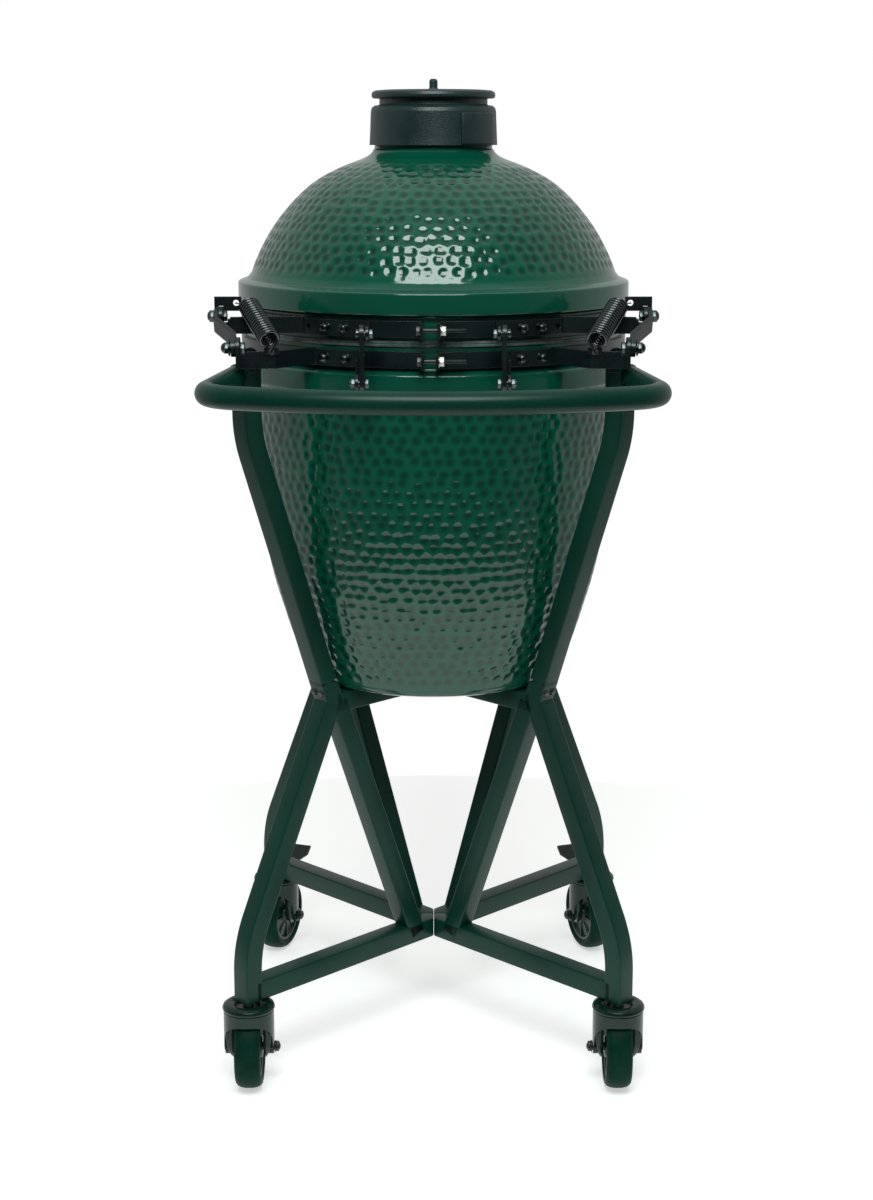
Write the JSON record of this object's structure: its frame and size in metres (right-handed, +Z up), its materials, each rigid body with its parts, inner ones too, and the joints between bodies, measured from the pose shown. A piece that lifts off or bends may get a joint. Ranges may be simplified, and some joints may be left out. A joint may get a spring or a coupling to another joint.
{
  "type": "kamado ceramic grill",
  "caption": "Egg-shaped glazed ceramic kamado grill with a sprung hinged lid and cast cap, on a square-tube cart with a push handle and swivel casters.",
  "frame": {"origin": "floor level at the centre of the bounding box; the egg's own axis stands 64 mm towards +Y of it", "axes": "+Z up; -Y towards the hinge and push-handle side; +Y towards the lid handle and draught door; +X to the right seen from the hinge side"},
  "size_m": [0.5197, 0.8079, 1.199],
  "materials": {
    "glaze": "glossy deep green glaze over a dimpled surface",
    "powder_coat": "satin dark green powder coat",
    "black_steel": "satin near-black coating",
    "spring_wire": "black coated spring wire",
    "zinc": "bright zinc plate",
    "felt": "grey-green felt gasket",
    "fire_clay": "matt fired clay",
    "cast_iron": "sandy cast iron with a dark green-black coating",
    "bright_steel": "brushed stainless steel",
    "lens": "clear glass",
    "needle_red": "red painted pointer",
    "grip": "fine grained black plastic",
    "cap_plastic": "black moulded plastic",
    "caster_plastic": "dark moulded plastic with a slight gloss",
    "core_plastic": "dark moulded plastic",
    "tread": "dark rubber tread"
  },
  "bodies": {
    "base": {"frame_rear_left": "powder_coat", "frame_rear_right": "powder_coat", "frame_front_left": "powder_coat", "frame_front_right": "powder_coat", "arm_rear_left": "powder_coat", "arm_rear_right": "powder_coat", "arm_front_left": "powder_coat", "arm_front_right": "powder_coat", "arm_screws": "black_steel", "arm_tabs": "black_steel", "arm_caps": "cap_plastic", "push_handle": "powder_coat", "caster_stems": "zinc", "base_shell": "glaze", "base_gasket": "felt", "lower_band": "black_steel", "lower_band_bolt": "zinc", "hinge_base_brackets": "black_steel", "hinge_base_bolts": "black_steel", "fire_box": "fire_clay", "fire_ring": "fire_clay", "fire_grate": "cast_iron", "cooking_grid": "bright_steel", "draft_frame": "bright_steel", "lid_springs": "spring_wire"},
    "lid": {"lid_dome": "glaze", "lid_gasket": "felt", "upper_band": "black_steel", "upper_band_bolt": "zinc", "hinge_lid_brackets": "black_steel", "hinge_arms": "black_steel", "lid_bolts": "black_steel", "cap_body": "cast_iron", "lid_handle_grip": "grip", "lid_handle_brackets": "black_steel", "thermometer_case": "bright_steel", "thermometer_lens": "lens"},
    "cap_disc": {"cap_disc": "cast_iron"},
    "needle": {"thermometer_needle": "needle_red"},
    "stays": {"hinge_stays": "black_steel"},
    "draft_door": {"draft_door": "bright_steel"},
    "draft_screen": {"draft_screen": "bright_steel"},
    "caster_rear_left": {"caster_fork_rear_left": "caster_plastic", "caster_axle_rear_left": "zinc"},
    "wheel_rear_left": {"caster_core_rear_left": "core_plastic", "caster_tyre_rear_left": "tread"},
    "caster_rear_right": {"caster_fork_rear_right": "caster_plastic", "caster_axle_rear_right": "zinc"},
    "wheel_rear_right": {"caster_core_rear_right": "core_plastic", "caster_tyre_rear_right": "tread"},
    "caster_front_left": {"caster_fork_front_left": "caster_plastic", "caster_axle_front_left": "zinc"},
    "wheel_front_left": {"caster_core_front_left": "core_plastic", "caster_tyre_front_left": "tread"},
    "pedal_left": {"brake_pedal_left": "caster_plastic"},
    "caster_front_right": {"caster_fork_front_right": "caster_plastic", "caster_axle_front_right": "zinc"},
    "wheel_front_right": {"caster_core_front_right": "core_plastic", "caster_tyre_front_right": "tread"},
    "pedal_right": {"brake_pedal_right": "caster_plastic"}
  },
  "joints": [
    {"name": "lid_hinge", "type": "hinge", "parent": "base", "child": "lid", "pos_m": [0, -0.186, 0.902], "axis": [1, 0, 0], "range_deg": [0, 65], "stiffness_Nm_per_rad": 22, "springref_deg": 64.97, "deforming": ["lid_springs"]},
    {"name": "stay_swing", "type": "hinge", "parent": "base", "child": "stays", "pos_m": [0, -0.198, 0.864], "axis": [1, 0, 0], "range_deg": [0, 16]},
    {"name": "cap_turn", "type": "hinge", "parent": "lid", "child": "cap_disc", "pos_m": [0, 0.064, 1.18], "axis": [0, 0, 1], "range_deg": [0, 36]},
    {"name": "needle_turn", "type": "hinge", "parent": "lid", "child": "needle", "pos_m": [0, 0.27801, 0.99008], "axis": [0, 0.9107, 0.4131], "range_deg": [-250, 0]},
    {"name": "draft_door_slide", "type": "hinge", "parent": "base", "child": "draft_door", "pos_m": [0, 0.064, 0.545], "axis": [0, 0, 1], "range_deg": [-23.5, 0]},
    {"name": "draft_screen_slide", "type": "hinge", "parent": "base", "child": "draft_screen", "pos_m": [0, 0.064, 0.545], "axis": [0, 0, 1], "range_deg": [0, 23.5]},
    {"name": "swivel_rear_left", "type": "hinge", "parent": "base", "child": "caster_rear_left", "pos_m": [-0.22345, -0.15945, 0.106], "axis": [0, 0, 1], "continuous": true},
    {"name": "roll_rear_left", "type": "hinge", "parent": "caster_rear_left", "child": "wheel_rear_left", "pos_m": [-0.22345, -0.15145, 0.05], "axis": [1, 0, 0], "continuous": true},
    {"name": "swivel_rear_right", "type": "hinge", "parent": "base", "child": "caster_rear_right", "pos_m": [0.22345, -0.15945, 0.106], "axis": [0, 0, 1], "continuous": true},
    {"name": "roll_rear_right", "type": "hinge", "parent": "caster_rear_right", "child": "wheel_rear_right", "pos_m": [0.22345, -0.15145, 0.05], "axis": [1, 0, 0], "continuous": true},
    {"name": "swivel_front_left", "type": "hinge", "parent": "base", "child": "caster_front_left", "pos_m": [-0.22345, 0.28745, 0.106], "axis": [0, 0, 1], "range_deg": [-75, 205]},
    {"name": "roll_front_left", "type": "hinge", "parent": "caster_front_left", "child": "wheel_front_left", "pos_m": [-0.22071, 0.29496, 0.05], "axis": [0.9397, -0.342, 0], "continuous": true},
    {"name": "brake_left", "type": "hinge", "parent": "caster_front_left", "child": "pedal_left", "pos_m": [-0.21216, 0.31846, 0.098], "axis": [0.9397, -0.342, 0], "range_deg": [-12, 0]},
    {"name": "swivel_front_right", "type": "hinge", "parent": "base", "child": "caster_front_right", "pos_m": [0.22345, 0.28745, 0.106], "axis": [0, 0, 1], "range_deg": [-205, 75]},
    {"name": "roll_front_right", "type": "hinge", "parent": "caster_front_right", "child": "wheel_front_right", "pos_m": [0.22071, 0.29496, 0.05], "axis": [0.9397, 0.342, 0], "continuous": true},
    {"name": "brake_right", "type": "hinge", "parent": "caster_front_right", "child": "pedal_right", "pos_m": [0.21216, 0.31846, 0.098], "axis": [0.9397, 0.342, 0], "range_deg": [-12, 0]}
  ],
  "couplings": [
    {"joint": "stay_swing", "follows": "lid_hinge", "ratio": 0.235}
  ]
}
